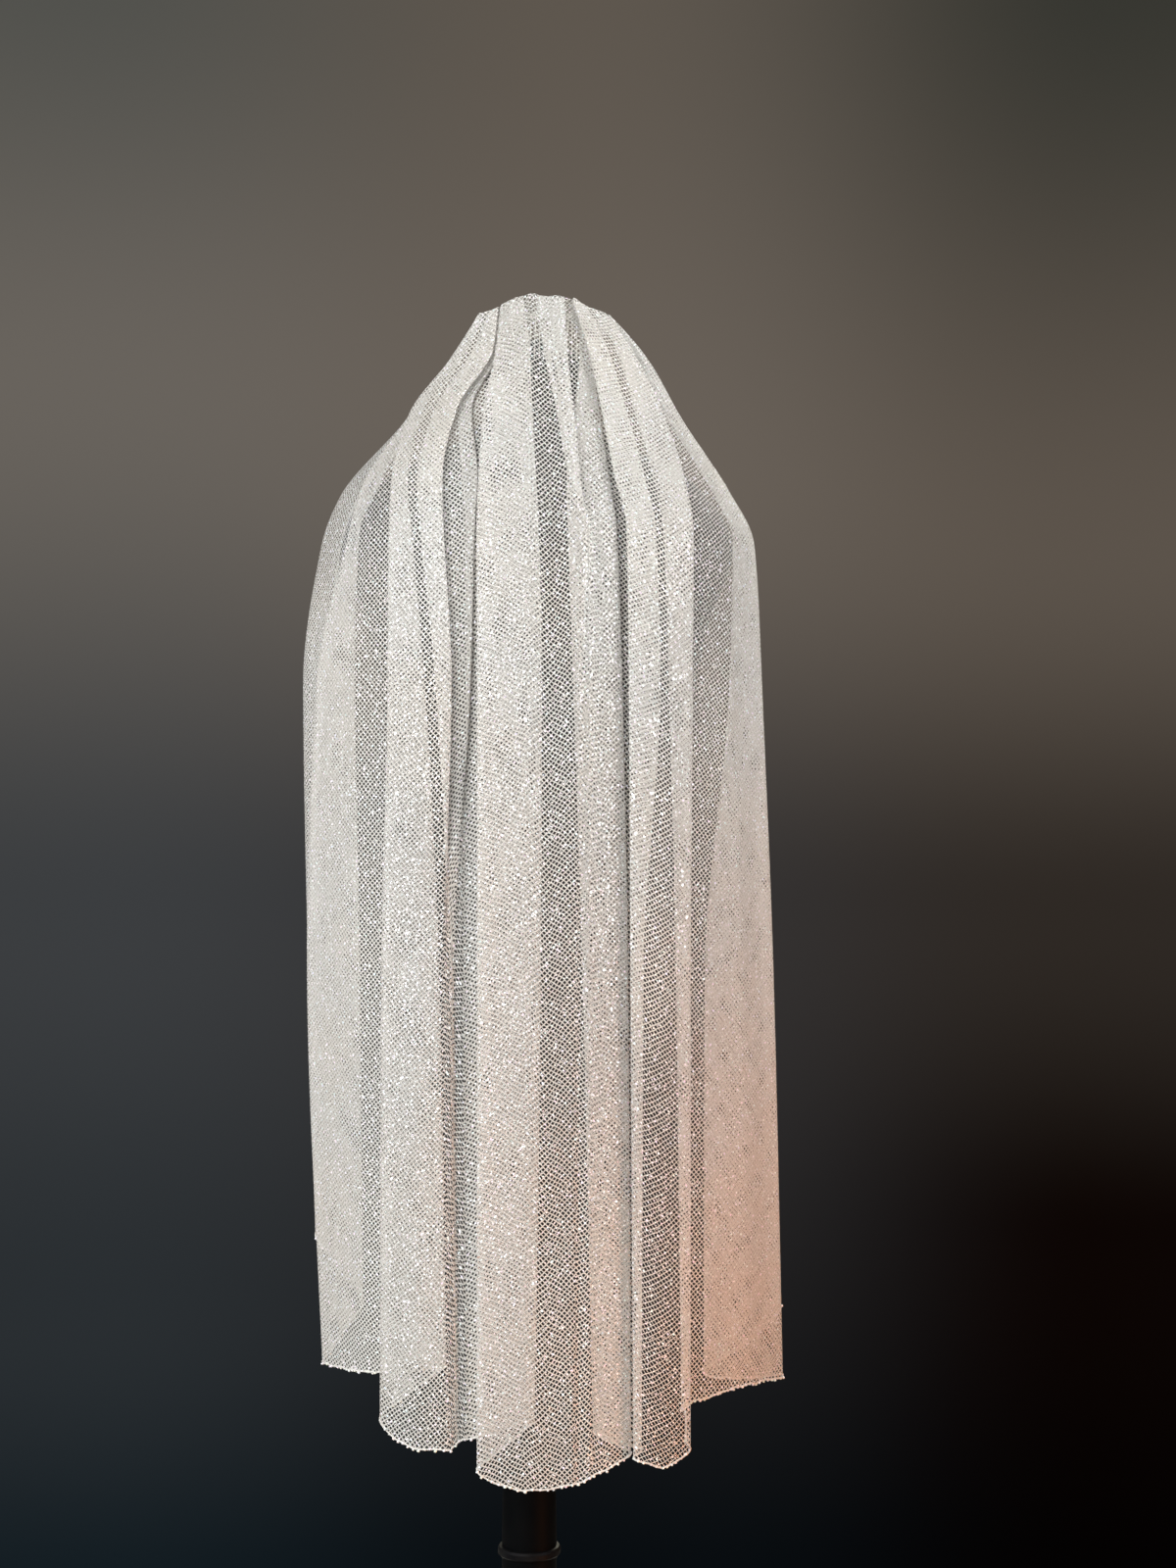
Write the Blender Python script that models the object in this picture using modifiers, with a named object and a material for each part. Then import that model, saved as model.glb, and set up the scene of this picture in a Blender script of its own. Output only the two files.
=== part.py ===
"""Bridal veil of glitter tulle, gathered on a comb, resting on a limbless display form.

The veil is one panel of cloth. At any height its plan is a path that runs from one free side edge,
round the side, across the back in overlapping pleats, round the other side to the other free edge.
FOLDS has a row for each turn of that path, and LEVELS a row for each height where the turns are placed.

Metres, +Z up. The back of the veil faces -Y. The origin is the centre of the base's underside.
"""
from collections import namedtuple
import math

import bmesh
import bpy
import numpy as np

MM = 0.001

# Driving sizes, in millimetres.
CLOTH_WALL = 1.2            # modelled thickness of the tulle
GATHER_TOP = 1656.0         # height of the gathered edge at its middle
GATHER_DROP = 14.0          # how much lower the two ends of the gathered edge lie
GATHER_CENTRE = 13.0        # x of the middle of the comb
GATHER_HALF = 51.0          # half of the width that the cloth is gathered to
COMB_WIDTH = 80.0
COMB_BOW = 9.0              # how far the comb's end teeth curve round the block at their tips
COMB_WALL = 1.6
COMB_TEETH = 18
# y and z from the top of the comb's spine, round the back of the block, to the teeth's tips.
COMB_ROUTE = ((-9.0, 1643.0), (-9.2, 1636.0), (-17.0, 1627.5),
              (-30.0, 1619.0), (-41.0, 1606.0), (-51.5, 1590.0))
COMB_SPINE_ROWS = 2
BASE_RADIUS = 165.0
BASE_HEIGHT = 22.0
SEAM_GAP = 0.4              # clear space where one piece rests on another

# Heights where the turns are placed. back: y of the outermost cloth at the middle of the back.
# side: y of the cloth at the silhouette. round: power of the curve from the one to the other.
# near: scale on the spacing of the layers. far: the same for the layers that wrap round to the front.
Level = namedtuple("Level", "height back side round near far")
LEVELS = (
    Level(1656, -24, -19, 2.0, 0.50, 0.30),
    Level(1600, -68, -24, 2.2, 0.70, 0.50),
    Level(1540, -98, -12, 2.7, 0.80, 0.75),
    Level(1470, -124, 0, 3.6, 0.80, 1.0),
    Level(1420, -136, 0, 3.8, 0.80, 1.0),
    Level(1280, -148, 0, 3.4, 0.90, 1.0),
    Level(1000, -152, 0, 3.0, 1.0, 1.0),
    Level(560, -160, 0, 3.0, 1.0, 1.0),
)

# One row for each turn of the path, from the left free edge to the right one.
# x: the turn's place at each level. come, go: how far behind the outermost cloth the path comes in
# and goes out, in mm. lax: the same where the pleat has opened out. hem, low: height of the hem at
# the turn and halfway to the next one. steps: points added on the way to the next turn.
Fold = namedtuple("Fold", "name x come go lax hem low steps")
FOLDS = (
    Fold("left_edge", (-37, -70, -114, -175, -193, -207, -203, -197), 50, 50, 50, 800, 742, 1),
    Fold("left_wrap", (-42, -80, -129, -192, -211, -230, -226, -213), 44, 30, 37, 724, 698, 1),
    Fold("left_inner", (-35, -68, -111, -143, -163, -166, -162, -159), 28, 23, 25, 678, 642, 1),
    Fold("left_side", (-41, -76, -122, -163, -175, -209, -222, -204), 20, 14, 16, 606, 620, 3),
    Fold("a_tuck", (-36.5, -63, -104, -113, -108, -95, -81, -73), 15, 8, 12, 638, 612, 1),
    Fold("b_edge", (-41, -73, -118, -129, -130, -130, -137, -139), 8, 0, 4, 580, 560, 2),
    Fold("b_ridge", (-29, -33.5, -67, -79, -77, -69, -76, -71), 0, 8, 7, 561, 563, 0),
    Fold("b_ridge_tuck", (-34.5, -56, -92, -104, -100, -85, -71, -66), 8, 16, 10, 564, 566, 1),
    Fold("b_rib", (-24, -28, -53, -46, -48, -51, -67, -62), 12, 16, 13, 567, 569, 0),
    Fold("b_rib_tuck", (-29.5, -42, -66, -61, -58, -56, -58, -55), 16, 20, 15, 570, 578, 2),
    Fold("b_tuck", (-6, 2, 5, 9, 12, 15, 14, 8), 20, 8, 12, 588, 566, 1),
    Fold("c_edge", (-27, -31, -41, -45, -46, -45, -45, -45), 8, 0, 4, 545, 528, 4),
    Fold("c_pleat", (35, 38, 44, 51, 56, 52, 48, 46), 0, 5, 4, 533, 536, 0),
    Fold("c_pleat_tuck", (8, 15, 27, 40, 60, 62, 62, 62), 5, 10, 6, 539, 547, 1),
    Fold("c_right", (46, 60, 68, 78, 85, 90, 95.5, 98), 13, 18, 15, 557, 567, 1),
    Fold("c_tuck", (41, 50, 45, 38, 39, 44, 53, 63), 18, 23, 20, 577, 566, 1),
    Fold("d_left_tuck", (54, 78, 95, 112, 122, 126, 110, 108), 23, 8, 12, 559, 556, 0),
    Fold("d_edge", (42, 58, 70, 83, 94, 96, 97.5, 100), 8, 0, 4, 556, 546, 3),
    Fold("d_right", (65, 103, 131, 151, 158, 157, 155, 154), 0, 8, 4, 558, 580, 0),
    Fold("d_right_tuck", (59, 86, 102, 120, 129, 134, 141, 146), 8, 16, 12, 594, 600, 3),
    Fold("right_side", (66, 115, 152, 199, 223, 231, 243, 253), 13, 20, 16, 590, 603, 1),
    Fold("right_inner", (62, 103, 136, 178, 200, 196, 170, 168), 23, 28, 25, 620, 632, 2),
    Fold("right_wrap", (67, 118, 155, 203, 226, 234, 245, 256), 30, 44, 37, 652, 668, 1),
    Fold("right_edge", (65, 110, 143, 192, 213, 222, 236, 241), 50, 50, 50, 720, 720, 0),
)
FIRST_TO_TURN_RIGHT = 2     # the left wrap turns left, the left inner fold turns right, and so on
CLOSED_OVERLAP = 1.6        # a turn is fully folded where it overlaps by this many of its radii
LAX_SPREAD = 2.5            # half width of a turn that has opened out
LAX_SHARE = 0.4             # most of the way to the next turn that it then takes up
FAR_START, FAR_FULL = 29.0, 46.0    # depths between which a layer leaves the back and joins the side
ARC_ANGLES = (-90.0, -32.0, 32.0, 90.0)     # points on one turn
ARC_SHARE = 0.12            # part of the way to the next turn that an arc takes up on the hem
STEEPEST = 1.9              # most that a layer's depth is drawn out in y where the plan runs steeply
GATHER_RIPPLE = 1.6         # height of the small waves between the pleats, at the comb
RIPPLE_FADE = 150.0         # distance below the comb where they die out
RIPPLE_WIDTH = 16.0         # narrower stretches between two turns have lower waves
ROWS_ABOVE = (1.0, 8, 17, 32, 52, 75, 100, 128, 156, 180, 202, 226, 256, 300, 360)
ROWS_BELOW = (0.16, 0.34, 0.53, 0.72, 0.88, 1.0)   # shares of the way from the last of those to the hem

# Torso sections: height, half width, half depth, how far the middle lies behind the axis.
Section = namedtuple("Section", "height half_width half_depth middle")
TORSO_CENTRE = 8.0
TORSO = (
    Section(836, 46, 40, 0), Section(838, 92, 56, 0), Section(848, 132, 76, -2),
    Section(872, 158, 90, -4), Section(920, 167, 95, -4), Section(1000, 147, 86, 0),
    Section(1080, 124, 77, 4), Section(1180, 138, 88, 2), Section(1280, 158, 98, 0),
    Section(1340, 170, 86, 2), Section(1385, 188, 68, 2), Section(1408, 194, 58, 2),
    Section(1432, 189, 55, 2), Section(1460, 170, 55, 2), Section(1485, 145, 56, 2),
    Section(1503, 110, 56, 2), Section(1518, 78, 54, 1), Section(1532, 60, 52, 0),
    Section(1536, 54, 47, 0),
)
TORSO_SIDES = 28
TORSO_SQUARENESS = 2.2

# Turned profiles: height, radius.
NECK_BLOCK = ((1536.4, 47), (1538, 50), (1562, 53), (1582, 51), (1598, 45), (1609, 35), (1616, 21), (1618, 0))
STEM = ((0, 27), (400, 27), (470, 26), (540, 23.5), (620, 20), (700, 18), (813, 18))
BASE_EDGE = 5.0             # rounding of the base's upper edge; its underside is rounded less
ROUND_SIDES = 24            # sides of the neck block and the stem
BASE_SIDES = 48
SHARP_ANGLE = 50.0          # edges bent more than this are shaded sharp


def superellipse(half_width, half_depth, angle, power):
    """Point at an angle on an ellipse whose sides are drawn out by a power above 2."""
    cosine, sine = math.cos(angle), math.sin(angle)
    x = math.copysign(abs(cosine) ** (2 / power), cosine) * half_width
    y = math.copysign(abs(sine) ** (2 / power), sine) * half_depth
    return x, y


def ease(value):
    """0 to 1 with level ends."""
    value = min(max(value, 0.0), 1.0)
    return value * value * (3 - 2 * value)


def through(stations, values, where):
    """A smooth curve through values at rising stations, read at one place."""
    last = len(stations) - 1
    where = min(max(where, stations[0]), stations[last])
    cell = min(int(np.searchsorted(stations, where, side="right")) - 1, last - 1)
    cell = max(cell, 0)

    def slope(index):
        if index in (0, last):
            inner = min(max(index, 1), last)
            return (values[inner] - values[inner - 1]) / (stations[inner] - stations[inner - 1])
        before = (values[index] - values[index - 1]) / (stations[index] - stations[index - 1])
        after = (values[index + 1] - values[index]) / (stations[index + 1] - stations[index])
        if before * after <= 0:
            return 0.0
        return 2 * before * after / (before + after)

    span = stations[cell + 1] - stations[cell]
    t = (where - stations[cell]) / span
    return ((1 + 2 * t) * (1 - t) ** 2 * values[cell] + t * (1 - t) ** 2 * span * slope(cell)
            + t * t * (3 - 2 * t) * values[cell + 1] + t * t * (t - 1) * span * slope(cell + 1))


LEVEL_HEIGHTS = [level.height for level in reversed(LEVELS)]


def at_height(values, z):
    """A column of LEVELS, or a fold's x, read at any height."""
    return through(LEVEL_HEIGHTS, list(reversed(values)), z)


class Plan:
    """The veil's plan at one height."""

    def __init__(self, z):
        self.z = z
        self.x = [at_height(fold.x, z) for fold in FOLDS]
        self.back, self.side, self.round, self.near, self.far = (
            at_height(list(column), z) for column in list(zip(*LEVELS))[1:])
        left, right = self.x[1], self.x[-2]
        self.middle = (left + right) / 2
        self.half = (right - left) / 2

    def surface(self, x, depth):
        """y of a layer at a depth behind the outermost cloth."""
        share = min(abs(x - self.middle) / self.half, 1.0)
        outer = self.side + (self.back - self.side) * (1 - share ** self.round)
        slope = (self.side - self.back) * self.round * share ** (self.round - 1) / self.half
        drawn_out = min(math.hypot(1, slope), STEEPEST)
        leaving = ease((depth - FAR_START) / (FAR_FULL - FAR_START))
        scaled = min(depth, FAR_START) * self.near * drawn_out + max(depth - FAR_START, 0) * self.far
        return outer + (self.side - outer) * leaving + scaled

    def turn(self, index, angle):
        """(x, depth) of a point on the arc of a turn, angle from -90 to 90 degrees."""
        fold = FOLDS[index]
        way = 1 if (index - FIRST_TO_TURN_RIGHT) % 2 == 0 else -1
        overlap = min(way * (self.x[index] - self.x[index - 1]), way * (self.x[index] - self.x[index + 1]))
        half_step = abs(fold.go - fold.come) / 2
        radius = half_step * self.near
        closed = ease(overlap / (CLOSED_OVERLAP * radius))
        radius = min(radius, max(overlap, 0) / 2)
        sine, cosine = math.sin(math.radians(angle)), math.cos(math.radians(angle))
        mid_depth = (fold.come + fold.go) / 2
        x_closed = self.x[index] - way * radius * (1 - cosine)
        depth_closed = mid_depth + (fold.go - fold.come) / 2 * sine
        spread = min(LAX_SPREAD, LAX_SHARE * abs(self.x[index] - self.x[index - 1]),
                     LAX_SHARE * abs(self.x[index] - self.x[index + 1]))
        x_lax = self.x[index] + spread * sine
        depth_lax = fold.lax + sine
        return (x_closed * closed + x_lax * (1 - closed), depth_closed * closed + depth_lax * (1 - closed))

    def end(self, index, leaving):
        """(x, depth) where a turn's arc starts or ends."""
        if index in (0, len(FOLDS) - 1):
            return self.x[index], FOLDS[index].go
        return self.turn(index, 90 if leaving else -90)

    def run(self, index, share, ripple):
        """(x, depth) part of the way from one turn to the next."""
        x_from, depth_from = self.end(index, True)
        x_to, depth_to = self.end(index + 1, False)
        ripple *= min(abs(x_to - x_from) / RIPPLE_WIDTH, 1.0)
        return x_from + (x_to - x_from) * share, depth_from + (depth_to - depth_from) * share + ripple


def veil_columns():
    """Each column of the panel: (kind, fold index, angle or share, place along the hem, ripple sign)."""
    columns = [("edge", 0, 0.0, 0.0, 0)]
    sign = 1
    for index, fold in enumerate(FOLDS[:-1]):
        if index > 0:
            for angle in ARC_ANGLES:
                columns.append(("turn", index, angle, index + ARC_SHARE * angle / 90, 0))
        for step in range(1, fold.steps + 1):
            share = step / (fold.steps + 1)
            place = index + ARC_SHARE + (1 - 2 * ARC_SHARE) * share
            columns.append(("run", index, share, place, sign))
            sign = -sign
    columns.append(("edge", len(FOLDS) - 1, 0.0, len(FOLDS) - 1.0, 0))
    return columns


def hem_height(place):
    """Height of the hem, place counted in turns from the left free edge."""
    stations, heights = [], []
    for index, fold in enumerate(FOLDS):
        stations.append(float(index))
        heights.append(fold.hem)
        if index < len(FOLDS) - 1:
            stations.append(index + 0.5)
            heights.append(fold.low)
    return through(stations, heights, place)


def panel_point(column, height, depth_below_top):
    """One point of the cloth's middle surface, in mm."""
    kind, index, value, _, sign = column
    plan = Plan(height)
    ripple = sign * GATHER_RIPPLE * (1 - ease(depth_below_top / RIPPLE_FADE))
    if kind == "turn":
        x, depth = plan.turn(index, value)
    elif kind == "run":
        x, depth = plan.run(index, value, ripple)
    else:
        x, depth = plan.x[index], FOLDS[index].go
    return x, plan.surface(x, depth)


def panel_grid():
    """Rows of points of the veil panel, from the comb to the hem."""
    columns = veil_columns()
    grid = []
    tops, hems = [], []
    for column in columns:
        x_top, _ = panel_point(column, GATHER_TOP, 0)
        share = (x_top - GATHER_CENTRE) / GATHER_HALF
        tops.append(GATHER_TOP - GATHER_DROP * min(share * share, 1.0))
        hems.append(hem_height(column[3]))
    for below in ROWS_ABOVE:
        grid.append([(*panel_point(column, top - below, below), top - below)
                     for column, top in zip(columns, tops)])
    last = ROWS_ABOVE[-1]
    for share in ROWS_BELOW:
        row = []
        for column, top, hem in zip(columns, tops, hems):
            height = (top - last) + (hem - (top - last)) * share
            row.append((*panel_point(column, height, last), height))
        grid.append(row)
    return grid


def material(name, colour, roughness, metallic=0.0, alpha=1.0):
    """A plain Principled material."""
    made = bpy.data.materials.new(name)
    made.use_nodes = True
    shader = made.node_tree.nodes["Principled BSDF"]
    shader.inputs["Base Color"].default_value = (*colour, 1.0)
    shader.inputs["Roughness"].default_value = roughness
    shader.inputs["Metallic"].default_value = metallic
    shader.inputs["Alpha"].default_value = alpha
    return made


def add_object(name, mesh, finish, home):
    """Put a mesh in the scene as one named piece."""
    piece = bpy.data.objects.new(name, mesh)
    mesh.materials.append(finish)
    mesh.shade_smooth()
    mesh.set_sharp_from_angle(angle=math.radians(SHARP_ANGLE))
    home.objects.link(piece)
    return piece


def mesh_of(name, build):
    """Make a mesh by running build on an empty bmesh."""
    work = bmesh.new()
    build(work)
    mesh = bpy.data.meshes.new(name)
    work.to_mesh(mesh)
    work.free()
    return mesh


def strip_faces(work, rows, closed=False):
    """Quads between neighbouring rows of vertices."""
    for upper, lower in zip(rows, rows[1:]):
        count = len(upper)
        for i in range(count if closed else count - 1):
            j = (i + 1) % count
            work.faces.new((upper[i], lower[i], lower[j], upper[j]))


def thicken(piece, wall):
    """Give an open surface its wall, half on each side."""
    solid = piece.modifiers.new("wall", "SOLIDIFY")
    solid.thickness = wall * MM
    solid.offset = 0.0
    solid.use_even_offset = False


def make_veil(home):
    """The one gathered and pleated panel of tulle."""
    def build(work):
        rows = [[work.verts.new([value * MM for value in point]) for point in row] for row in panel_grid()]
        strip_faces(work, rows)
    finish = material("tulle", (0.86, 0.85, 0.82), 0.6, alpha=0.6)
    thicken(add_object("veil_panel", mesh_of("veil_panel", build), finish, home), CLOTH_WALL)


def make_comb(home):
    """A plain comb: a spine under the gathers and teeth that follow the back of the neck block."""
    strips = 2 * COMB_TEETH - 1

    def build(work):
        rows = []
        for level, (y, z) in enumerate(COMB_ROUTE):
            row = []
            for i in range(strips + 1):
                share = 2 * i / strips - 1
                x = GATHER_CENTRE + COMB_WIDTH / 2 * share
                bowed = y + COMB_BOW * share * share * level / (len(COMB_ROUTE) - 1)
                row.append(work.verts.new((x * MM, bowed * MM, z * MM)))
            rows.append(row)
        for level, (upper, lower) in enumerate(zip(rows, rows[1:])):
            for i in range(strips):
                if level < COMB_SPINE_ROWS - 1 or i % 2 == 0:
                    work.faces.new((upper[i], lower[i], lower[i + 1], upper[i + 1]))
        loose = [vertex for vertex in work.verts if not vertex.link_faces]
        bmesh.ops.delete(work, geom=loose, context="VERTS")
    finish = material("comb", (0.75, 0.74, 0.7), 0.3)
    thicken(add_object("comb", mesh_of("comb", build), finish, home), COMB_WALL)


def make_torso(home):
    """The limbless body of the display form, lofted and closed at both ends."""
    def build(work):
        rows = []
        for section in TORSO:
            row = []
            for i in range(TORSO_SIDES):
                x, y = superellipse(section.half_width, section.half_depth,
                                    2 * math.pi * i / TORSO_SIDES, TORSO_SQUARENESS)
                place = ((x + TORSO_CENTRE) * MM, (y + section.middle) * MM, section.height * MM)
                row.append(work.verts.new(place))
            rows.append(row)
        strip_faces(work, list(reversed(rows)), closed=True)
        work.faces.new(list(reversed(rows[0])))
        work.faces.new(rows[-1])
    finish = material("form_cover", (0.012, 0.012, 0.014), 0.7)
    add_object("form_torso", mesh_of("form_torso", build), finish, home)


def make_turned(name, profile, centre, sides, finish, home):
    """A closed turned piece from (height, radius) rows."""
    def build(work):
        rows = []
        for height, radius in profile:
            if radius == 0:
                rows.append([work.verts.new((centre * MM, 0, height * MM))])
                continue
            row = []
            for i in range(sides):
                angle = 2 * math.pi * i / sides
                row.append(work.verts.new(((centre + radius * math.cos(angle)) * MM,
                                           radius * math.sin(angle) * MM, height * MM)))
            rows.append(row)
        full = [row for row in rows if len(row) > 1]
        strip_faces(work, list(reversed(full)), closed=True)
        work.faces.new(list(reversed(full[0])))
        if len(rows[-1]) == 1:
            for i in range(sides):
                work.faces.new((full[-1][i], full[-1][(i + 1) % sides], rows[-1][0]))
        else:
            work.faces.new(full[-1])
    add_object(name, mesh_of(name, build), finish, home)


def make_form(home):
    """Torso, neck block, stem and base."""
    make_torso(home)
    block = material("form_block", (0.014, 0.014, 0.016), 0.55)
    make_turned("form_neck_block", NECK_BLOCK, TORSO_CENTRE, ROUND_SIDES, block, home)
    lacquer = material("form_stem", (0.01, 0.011, 0.013), 0.35)
    foot = BASE_HEIGHT + SEAM_GAP
    stem = [(foot + height, radius) for height, radius in STEM]
    make_turned("form_stem", stem, 0.0, ROUND_SIDES, lacquer, home)
    plate = material("form_base", (0.012, 0.012, 0.013), 0.4, metallic=0.6)
    edge = BASE_EDGE
    disc = ((0, BASE_RADIUS - edge * 0.4), (edge * 0.4, BASE_RADIUS), (BASE_HEIGHT - edge, BASE_RADIUS),
            (BASE_HEIGHT - edge * 0.3, BASE_RADIUS - edge * 0.3), (BASE_HEIGHT, BASE_RADIUS - edge))
    make_turned("form_base", disc, 0.0, BASE_SIDES, plate, home)


def main():
    for old in list(bpy.data.objects):
        bpy.data.objects.remove(old, do_unlink=True)
    home = bpy.data.collections.new("bridal_veil")
    bpy.context.scene.collection.children.link(home)
    make_veil(home)
    make_comb(home)
    make_form(home)


main()
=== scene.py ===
"""Looks of the bridal veil of glitter tulle, on its limbless display form.

The veil's plan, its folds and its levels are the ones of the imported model's source, in millimetres.
Here they are read on a fine grid, and get their gathers, creases, rolled edge, beads and net.
"""

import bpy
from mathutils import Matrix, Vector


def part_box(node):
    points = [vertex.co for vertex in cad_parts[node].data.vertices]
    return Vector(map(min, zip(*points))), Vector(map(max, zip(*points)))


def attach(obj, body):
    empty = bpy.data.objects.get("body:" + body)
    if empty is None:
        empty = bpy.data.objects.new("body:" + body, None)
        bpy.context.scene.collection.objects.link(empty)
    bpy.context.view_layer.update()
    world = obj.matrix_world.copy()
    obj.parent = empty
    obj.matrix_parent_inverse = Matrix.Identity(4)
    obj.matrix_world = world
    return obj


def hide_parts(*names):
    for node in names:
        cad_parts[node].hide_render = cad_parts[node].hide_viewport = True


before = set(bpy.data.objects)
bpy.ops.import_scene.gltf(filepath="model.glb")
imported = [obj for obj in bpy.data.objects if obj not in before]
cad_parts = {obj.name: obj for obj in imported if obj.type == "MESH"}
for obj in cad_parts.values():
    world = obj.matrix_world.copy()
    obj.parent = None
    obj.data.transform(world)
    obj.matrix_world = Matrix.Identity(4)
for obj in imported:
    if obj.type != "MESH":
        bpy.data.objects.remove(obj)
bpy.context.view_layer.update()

from collections import namedtuple
import math
import random

import bmesh
import bpy
import numpy as np
from mathutils import Vector

MM = 0.001
BODY = "root"
scene = bpy.context.scene

# ---- camera, in the photograph's frame
CAMERA_PLACE = (0.058, -2.42, 1.18)
PHOTO_HEIGHT = 1600.0
FOCAL_PIXELS = 2500.0  # focal length in the photograph's pixels
SENSOR = 36.0

# ---- the veil, in mm
GATHER_TOP = 1656.0  # height of the gathered edge at its middle
GATHER_DROP = 14.0  # how much lower its two ends lie
GATHER_CENTRE = 13.0  # x of its middle
GATHER_HALF = 51.0  # half of its width
TOP_INSET = 1.0  # how far below it the first row lies

# back, side: y of the outermost cloth at its middle and at the silhouette. round: power of the curve between.
# near, far: scale on the spacing of the layers at the back, and of those that wrap round to the front.
Level = namedtuple("Level", "height back side round near far")
LEVELS = [Level(*row) for row in (
    (1656, -24, -19, 2, 0.5, 0.3), (1600, -68, -24, 2.2, 0.7, 0.5), (1540, -98, -12, 2.7, 0.8, 0.75),
    (1470, -124, 0, 3.6, 0.8, 1), (1420, -136, 0, 3.8, 0.8, 1), (1280, -148, 0, 3.4, 0.9, 1),
    (1000, -152, 0, 3, 1, 1), (560, -160, 0, 3, 1, 1),
)]

# One row for each turn of the path, from the left free edge to the right one. x: its place at each level.
# come, go, lax: depth behind the outermost cloth before it and after it, and where the pleat has opened out.
# hem, low: height of the hem at the turn and halfway to the next one.
Fold = namedtuple("Fold", "name x come go lax hem low")
FOLDS = [Fold(*row) for row in (
    ("left_edge", (-37, -70, -114, -175, -193, -207, -203, -197), 50, 50, 50, 800, 742),
    ("left_wrap", (-42, -80, -129, -192, -211, -230, -226, -213), 44, 30, 37, 724, 698),
    ("left_inner", (-35, -68, -111, -143, -163, -166, -162, -159), 28, 23, 25, 678, 642),
    ("left_side", (-41, -76, -122, -163, -175, -209, -222, -204), 20, 14, 16, 606, 620),
    ("a_tuck", (-36.5, -63, -104, -113, -108, -95, -81, -73), 15, 8, 12, 638, 612),
    ("b_edge", (-41, -73, -118, -129, -130, -130, -137, -139), 8, 0, 4, 580, 560),
    ("b_ridge", (-29, -33.5, -67, -79, -77, -69, -76, -71), 0, 8, 7, 561, 563),
    ("b_ridge_tuck", (-34.5, -56, -92, -104, -100, -85, -71, -66), 8, 16, 10, 564, 566),
    ("b_rib", (-24, -28, -53, -46, -48, -51, -67, -62), 12, 16, 13, 567, 569),
    ("b_rib_tuck", (-29.5, -42, -66, -61, -58, -56, -58, -55), 16, 20, 15, 570, 578),
    ("b_tuck", (-6, 2, 5, 9, 12, 15, 14, 8), 20, 8, 12, 588, 566),
    ("c_edge", (-27, -31, -41, -45, -46, -45, -45, -45), 8, 0, 4, 545, 528),
    ("c_pleat", (35, 38, 44, 51, 56, 52, 48, 46), 0, 5, 4, 533, 536),
    ("c_pleat_tuck", (8, 15, 27, 40, 60, 62, 62, 62), 5, 10, 6, 539, 547),
    ("c_right", (46, 60, 68, 78, 85, 90, 95.5, 98), 13, 18, 15, 557, 567),
    ("c_tuck", (41, 50, 45, 38, 39, 44, 53, 63), 18, 23, 20, 577, 566),
    ("d_left_tuck", (54, 78, 95, 112, 122, 126, 110, 108), 23, 8, 12, 559, 556),
    ("d_edge", (42, 58, 70, 83, 94, 96, 97.5, 100), 8, 0, 4, 556, 546),
    ("d_right", (65, 103, 131, 151, 158, 157, 155, 154), 0, 8, 4, 558, 580),
    ("d_right_tuck", (59, 86, 102, 120, 129, 134, 141, 146), 8, 16, 12, 594, 600),
    ("right_side", (66, 115, 152, 199, 223, 231, 243, 253), 13, 20, 16, 590, 603),
    ("right_inner", (62, 103, 136, 178, 200, 196, 170, 168), 23, 28, 25, 620, 632),
    ("right_wrap", (67, 118, 155, 203, 226, 234, 245, 256), 30, 44, 37, 652, 668),
    ("right_edge", (65, 110, 143, 192, 213, 222, 236, 241), 50, 50, 50, 720, 720),
)]
FIRST_TO_TURN_RIGHT = 2  # index of the first turn that points to the right, as every second one does
CLOSED_OVERLAP = 1.6  # a turn that overlaps by this many of its radii is fully folded
LAX_SPREAD, LAX_SHARE = 2.5, 0.4  # most half width of an opened turn, in mm and of the way to the next
FAR_START, FAR_FULL = 29.0, 46.0  # depths where a layer leaves the back, and is at the side
STEEPEST = 1.9  # most that a depth is drawn out in y where the plan is steep
ARC_SHARE = 0.12  # share of the hem between two turns that an arc takes up

# Fineness of the cloth's grid.
ARC_ANGLES = (-90.0, -60.0, -30.0, 0.0, 30.0, 60.0, 90.0)
COLUMN_STEP = 5.4  # mm between columns, along the hem
FULL_WIDTH_AT = 640.0  # height where the cloth hangs at its whole width
ROW_FIRST, ROW_LAST = 2.6, 6.0  # mm between rows at the comb and lower down
ROW_GROWTH = 420.0  # mm below the comb where they reach their last spacing
PLAN_STEP = 2.0  # mm between the heights of the plans,
PLAN_BELOW_HEM = 20.0  # which start this far below the lowest hem

# Gathers: the cloth is drawn up to a sixteenth of its width on the comb, in small uneven waves.
GATHER_PITCH = 21.0  # mm of hem taken by one gather
GATHER_WAVE = 1.5  # height of a gather
GATHER_FADE = 230.0  # how far below the comb they have died out
GATHER_LEAST = 0.25  # share of their height where the cloth is tightest
GATHER_RISE, GATHER_RISEN = 60.0, 0.4  # way in which it grows to the whole, and part done at the comb
FLUTE_PITCH = 74.0  # mm between the wide soft flutes of the hanging cloth
FLUTE_WAVE = 1.5
FLUTE_START, FLUTE_GROWTH = 120.0, 400.0  # how far below the comb they start, and take to grow

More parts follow.
